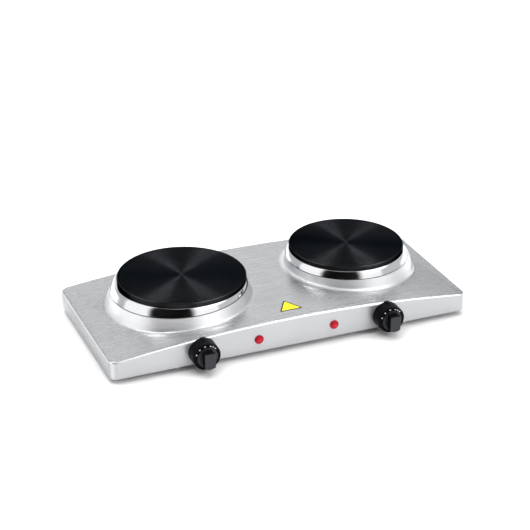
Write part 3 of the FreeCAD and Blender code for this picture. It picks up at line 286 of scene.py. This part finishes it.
def cast_plate(node):
    """Coated cast iron: turned rings with painted shade in their grooves, casting grain, a lighter
    outer top edge.
    """
    centre = middle(node)
    low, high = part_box(node)
    radius = (high.x - low.x) / 2
    paint = Paint("cast_iron_" + node, Metallic=1.0, Anisotropic=1.0)
    paint.turned()
    reach = paint.reach((1, 1, 0), centre)
    height = paint.along(paint.place, (0, 0, 1))
    grit = paint.noise((1800, 1800, 1800), 3.0)
    heat = paint.noise((22, 22, 22), 3.0)
    outside = paint.spread(reach, 0, 1, radius - 1.6 * MM, radius - 0.9 * MM)
    # a lighter colour round the outer top edge of the plate
    lighter_edge = paint.product(outside, paint.spread(height, 0, 1, high.z - 1.5 * MM,
                                                 high.z - 0.8 * MM))
    step = paint.math("MODULO", paint.math("SUBTRACT", reach, GROOVE_START), GROOVE_PITCH)
    land = paint.product(paint.spread(step, 0, 1, GROOVE_WIDTH, GROOVE_WIDTH * 1.4),
                         paint.spread(step, 1, 0, GROOVE_PITCH * 0.9, GROOVE_PITCH))
    middle_spot = paint.spread(reach, 1, 0, GROOVE_START * 0.9, GROOVE_START)
    for plain in (middle_spot, paint.product(outside, 0.4)):
        land = paint.math("MAXIMUM", land, plain)
    # painted shade: the grooves lose their glancing reflection and are painted near black
    glancing = paint.blend(land, (0, 0, 0), (0.30, 0.31, 0.32))
    paint.link(glancing, paint.shader.inputs["Specular Tint"])
    land_tone = paint.blend(paint.spread(heat, 0, 1), (0.044, 0.047, 0.050), (0.058, 0.062, 0.066))
    base = paint.blend(land, (0.0005, 0.0005, 0.0006), land_tone)
    paint.colour(paint.blend(paint.product(lighter_edge, 0.25), base, (0.10, 0.10, 0.105)))
    paint.rough(paint.math("ADD", paint.spread(grit, 0.18, 0.24), paint.spread(heat, 0.0, 0.02)))
    past = paint.math("SUBTRACT", step, GROOVE_WIDTH / 2)
    ridges = paint.math("SINE", paint.product(past, -2 * math.pi / GROOVE_PITCH))
    upward = paint.spread(paint.along(paint.facing, (0, 0, 1)), 0, RIDGE_SLOPE, 0.5, 0.9)
    paint.bump([(grit, 1.0e-5)], paint.turned_facets(centre, paint.product(ridges, upward)))
    return paint.material


def moulded(name, colour, rough=(0.32, 0.44), grain=2200, depth=8e-6, patch=0.25):
    """Moulded plastic or rubber with a fine texture."""
    paint = Paint(name)
    wear(paint, colour, patch, 60)
    texture = paint.noise((grain,) * 3, 2.0)
    paint.rough(paint.spread(texture, *rough))
    paint.bump([(texture, depth)])
    return paint.material


def plain_metal(name, colour, rough=(0.25, 0.42), grain=(600, 600, 600)):
    """Small turned, plated or galvanised metal part."""
    paint = Paint(name, Metallic=1.0)
    wear(paint, colour, 0.25, 120)
    texture = paint.noise(grain, 3.0)
    paint.rough(paint.spread(texture, *rough))
    paint.bump([(texture, 6e-6)])
    return paint.material


def galvanised(name, colour):
    """Zinc-coated sheet with its spangle."""
    paint = Paint(name, Metallic=1.0)
    cells = paint.add("ShaderNodeTexVoronoi", feature="F1", Scale=140.0)
    paint.link(paint.place, cells.inputs["Vector"])
    tone = paint.add("ShaderNodeSeparateColor")
    paint.link(cells.outputs["Color"], tone.inputs["Color"])
    paint.colour(paint.blend(tone.outputs["Red"], [c * 0.8 for c in colour], colour))
    paint.rough(paint.spread(tone.outputs["Green"], 0.35, 0.55, 0, 1))
    paint.bump([(paint.noise((900,) * 3), 4e-6)])
    return paint.material


def knob_plastic(node):
    """Satin black plastic; the forward-facing fronts of a knob's grip and boss are painted lighter
    and more reflective, as painted light.
    """
    paint = Paint("satin_plastic_" + node, Specular_IOR_Level=0.05)
    texture = paint.noise((2600,) * 3, 2.0)
    touch = paint.noise((90,) * 3, 3.0)
    base = paint.blend(paint.spread(touch, 0, 1), (0.0015, 0.0016, 0.002), (0.003, 0.0032, 0.004))
    if node.endswith("_knob"):
        front = -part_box(node)[0].y
        out = paint.along(paint.place, (0, -1, 0))
        ahead = paint.along(paint.facing, (0, -1, 0))
        # painted light: faces of the grip and boss that face forward get a greyer colour and more
        # reflection
        painted_front_light = paint.product(paint.spread(out, 0, 1, front - 11.6 * MM, front - 10.6 * MM),
                                paint.spread(ahead, 0, 1, 0.5, 0.9))
        base = paint.blend(painted_front_light, base, (0.010, 0.011, 0.016))
        paint.link(paint.spread(painted_front_light, 0.05, 0.42, 0, 1),
                   paint.shader.inputs["Specular IOR Level"])
    paint.colour(base)
    paint.rough(paint.math("ADD", paint.spread(texture, 0.30, 0.40),
                           paint.spread(touch, 0.0, 0.06)))
    paint.bump([(texture, 6e-6)])
    return paint.material


def red_lens(node):
    """Clear red plastic with moulded ribs."""
    paint = Paint("red_" + node, Transmission_Weight=0.15, IOR=1.45, Coat_Weight=0.05,
                  Coat_Roughness=0.1, Specular_IOR_Level=0.2)
    reach = paint.reach((1, 0, 1), middle(node))
    ribs = paint.math("SINE", paint.product(reach, 2 * math.pi / (1.3 * MM)))
    haze = paint.noise((700,) * 3, 2.0)
    paint.colour(paint.blend(paint.spread(reach, 0, 1, 0.0, 6.5 * MM), (0.70, 0.003, 0.030),
                             (0.42, 0.001, 0.015)))
    paint.rough(paint.spread(haze, 0.15, 0.25))
    paint.bump([(ribs, 1.2e-4)])
    return paint.material


def triangle_film(node):
    """Yellow film with a dark border that follows the triangle."""
    low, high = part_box(node)
    height = high.y - low.y
    centre = Vector((middle(node).x, low.y + height * 0.345, 0))
    paint = Paint("yellow_film", Coat_Weight=0.1, Coat_Roughness=0.2, Specular_IOR_Level=0.2)
    local = paint.stretched((1, 1, 0), centre)
    edge = None
    for degrees in (-90, 30, 150):
        turn = math.radians(degrees)
        reach = paint.along(local, (math.cos(turn), math.sin(turn), 0))
        edge = reach if edge is None else paint.math("MAXIMUM", edge, reach)
    inner = height * 0.345 - FILM_BORDER
    border = paint.spread(edge, 0, 1, inner, inner + 0.3 * MM)
    print_grain = paint.noise((1500,) * 3, 2.0)
    yellow = paint.blend(paint.spread(print_grain, 0, 1), (0.78, 0.66, 0.002), (0.86, 0.75, 0.01))
    paint.colour(paint.blend(border, yellow, (0.015, 0.014, 0.012)))
    paint.rough(paint.spread(print_grain, 0.35, 0.5))
    paint.bump([(print_grain, 4e-6)])
    return paint.material


def ceramic_body():
    """Unglazed ceramic with tiny pits."""
    paint = Paint("ceramic_body")
    pits = paint.noise((900,) * 3, 4.0, 0.7)
    paint.colour(paint.blend(paint.spread(pits, 0, 1), (0.62, 0.57, 0.47), (0.80, 0.76, 0.67)))
    paint.rough(paint.spread(pits, 0.6, 0.85))
    paint.bump([(pits, 3e-5)])
    return paint.material


def assign_materials():
    """Give every CAD node its material."""
    shared = {
        "housing_steel": brushed_housing(),
        "base_steel": galvanised("base_galvanised", (0.60, 0.61, 0.62)),
        "zinc_steel": plain_metal("zinc_plated", (0.72, 0.72, 0.68)),
        "foot_rubber": moulded("foot_rubber", (0.018, 0.018, 0.019), (0.6, 0.8), 1200, 2e-5),
        "gasket_rubber": moulded("gasket_rubber", (0.010, 0.010, 0.011), (0.55, 0.7), 1500, 1e-5),
        "coil_steel": plain_metal("heat_tinted_coil", (0.42, 0.36, 0.31)),
        "ceramic": ceramic_body(),
        "inner_steel": galvanised("inner_galvanised", (0.58, 0.58, 0.57)),
        "brass": plain_metal("plain_brass", (0.80, 0.60, 0.28)),
        "inner_plastic": moulded("black_moulding", (0.03, 0.03, 0.033), (0.4, 0.55)),
        "shaft_steel": plain_metal("turned_shaft", (0.66, 0.66, 0.66), (0.2, 0.34), (80, 2500, 80)),
        "cam_plastic": moulded("cam_moulding", (0.72, 0.69, 0.62), (0.4, 0.5)),
        "mark_white": moulded("white_ink", (0.86, 0.87, 0.88), (0.45, 0.6), 1800, 5e-6, 0.12),
        "terminal_plastic": moulded("terminal_moulding", (0.75, 0.73, 0.66), (0.4, 0.5)),
        "wire_cover": moulded("wire_cover", (0.20, 0.05, 0.03), (0.45, 0.6)),
        "earth_wire_cover": moulded("earth_wire_cover", (0.25, 0.45, 0.06), (0.45, 0.6)),
    }
    own = {"knob_plastic": knob_plastic, "ring_chrome": polished_ring, "plate_iron": cast_plate,
           "lens_red": red_lens, "sticker_yellow": triangle_film}
    for part in frame["record"]["subparts"]:
        name, slot = part["node"], part["material_slot"]
        material = own[slot](name) if slot in own else shared[slot]
        mesh = nodes[name].data
        mesh.materials.clear()
        mesh.materials.append(material)


def soften(obj):
    """Smooth shading that stays crisp at real edges."""
    for polygon in obj.data.polygons:
        polygon.use_smooth = True
    weld = obj.modifiers.new("weld", "WELD")
    weld.merge_threshold = WELD
    split = obj.modifiers.new("crisp_edges", "EDGE_SPLIT")
    split.split_angle = SMOOTH_ANGLE


# ------------------------------------------------------------------ studio

class Sky(Nodes):
    """Studio surroundings painted by direction: azimuth 0 is straight in front of the object."""

    def __init__(self, name):
        self.world = bpy.data.worlds.new(name)
        super().__init__(self.world)
        self.where = self.add("ShaderNodeTexCoord").outputs["Generated"]
        height = self.math("ARCSINE", self.along(self.where, (0, 0, 1)))
        self.height = self.math("DEGREES", height)
        self.shade = (1.1, 1.1, 1.11)

    def window(self, value, edges):
        """1 between the middle two of four edges, fading to 0 at the outer two."""
        first, second, third, fourth = edges
        return self.product(self.spread(value, 0, 1, first, second, "SMOOTHSTEP"),
                            self.spread(value, 1, 0, third, fourth, "SMOOTHSTEP"))

    def card(self, facing, sideways, upwards, colour):
        """Paint a soft-edged card; its edges are in degrees from the azimuth it stands at."""
        turn = math.radians(facing)
        ahead = self.along(self.where, (math.sin(turn), -math.cos(turn), 0))
        aside = self.along(self.where, (math.cos(turn), math.sin(turn), 0))
        bearing = self.math("DEGREES", self.math("ARCTAN2", aside, ahead))
        amount = self.product(self.window(bearing, sideways), self.window(self.height, upwards))
        self.shade = self.blend(amount, self.shade, colour)

    def finish(self, for_diffuse):
        """Use the painted sky, at another strength where it only lights matt surfaces."""
        ray = self.add("ShaderNodeLightPath").outputs["Is Diffuse Ray"]
        background = self.add("ShaderNodeBackground")
        self.link(self.spread(ray, 1, for_diffuse, 0, 1), background.inputs["Strength"])
        self.link(self.shade, background.inputs["Color"])
        output = self.add("ShaderNodeOutputWorld")
        self.link(background.outputs["Background"], output.inputs["Surface"])
        scene.world = self.world


def sky():
    """Bright dome with the cards that the polished and brushed parts mirror."""
    dome = Sky("studio")
    behind = math.degrees(AZIMUTH) + 180
    # broad pale backdrop, mirrored by the housing top
    dome.card(behind, (-90, -50, 50, 90), (-20, 0, 60, 85), (0.88, 0.89, 0.905))
    # grey cards and bright strips either side of it: dark and light wedges on the plates
    for side in (-1, 1):
        dome.card(behind + 40 * side, (-22, -13, 20, 30), (4, 12, 44, 50), (0.22, 0.22, 0.225))
        dome.card(behind + 42 * side, (-12, -7, 7, 12), (50, 55, 70, 76), (9.0, 9.05, 9.1))
    dome.card(behind, (-28, -20, 20, 28), (58, 66, 88, 90), (0.15, 0.15, 0.15))
    # grey walls at the left and right, mirrored by the rings and collars
    dome.card(-148, (-38, -28, 26, 32), (-9, -2, 50, 62), (0.52, 0.53, 0.55))
    dome.card(95, (-52, -46, 35, 50), (-9, -2, 50, 62), (0.58, 0.59, 0.61))
    # black flag in front, mirrored as the dark patch on each ring, and a bright panel beside it
    dome.card(-33, (-44, -33, 30, 44), (4, 12, 52, 62), (0.002, 0.002, 0.002))
    dome.card(38, (-26, -20, 26, 34), (22, 30, 54, 60), (2.3, 2.3, 2.3))
    dome.finish(MATT_SKY)


def softbox(name, place, aim, size, power):
    """Large area light turned towards a point."""
    data = bpy.data.lights.new(name, "AREA")
    data.shape = "RECTANGLE"
    data.size, data.size_y = size
    data.energy = power
    lamp = bpy.data.objects.new(name, data)
    lamp.location = place
    lamp.rotation_euler = (Vector(aim) - Vector(place)).to_track_quat("-Z", "Y").to_euler()
    lamp.visible_glossy = False
    scene.collection.objects.link(lamp)


def floor():
    """Wide pale sheet under the feet."""
    mesh = bpy.data.meshes.new("studio_floor")
    work = bmesh.new()
    bmesh.ops.create_grid(work, x_segments=2, y_segments=2, size=8.0)
    work.to_mesh(mesh)
    work.free()
    obj = bpy.data.objects.new("studio_floor", mesh)
    scene.collection.objects.link(obj)
    paint = Paint("studio_paper", Specular_IOR_Level=0.1)
    paper = paint.noise((40,) * 3, 2.0)
    paint.colour(paint.blend(paint.spread(paper, 0, 1), (0.90, 0.90, 0.90), (0.92, 0.92, 0.92)))
    paint.rough(paint.spread(paper, 0.85, 0.95))
    mesh.materials.append(paint.material)


def camera():
    """Camera in front, to the left and a little above."""
    back = Vector((math.sin(AZIMUTH) * math.cos(ELEVATION),
                   -math.cos(AZIMUTH) * math.cos(ELEVATION), math.sin(ELEVATION)))
    right = Vector((math.cos(AZIMUTH), math.sin(AZIMUTH), 0))
    up = back.cross(right)
    data = bpy.data.cameras.new("camera")
    data.lens, data.sensor_width = LENS, SENSOR
    data.clip_start, data.clip_end = 0.05, 60
    obj = bpy.data.objects.new("camera", data)
    low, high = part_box("top_housing")
    aim = Vector(((low.x + high.x) / 2, (low.y + high.y) / 2, AIM_HEIGHT))
    obj.location = aim + back * DISTANCE - right * SLIDE_RIGHT - up * SLIDE_UP
    obj.rotation_euler = Matrix((right, up, back)).transposed().to_euler()
    scene.collection.objects.link(obj)
    scene.camera = obj


def studio():
    """Floor, light and camera."""
    scene.view_settings.view_transform = "Standard"
    sky()
    floor()
    softbox("top_light", (-0.3, 0.6, 2.0), (0, 0, 0), (3.0, 3.0), 62)
    softbox("front_light", (0.9, -1.9, 1.4), (0, 0, 0), (1.6, 1.0), 10)
    camera()


assign_materials()
for node in nodes.values():
    soften(node)
studio()
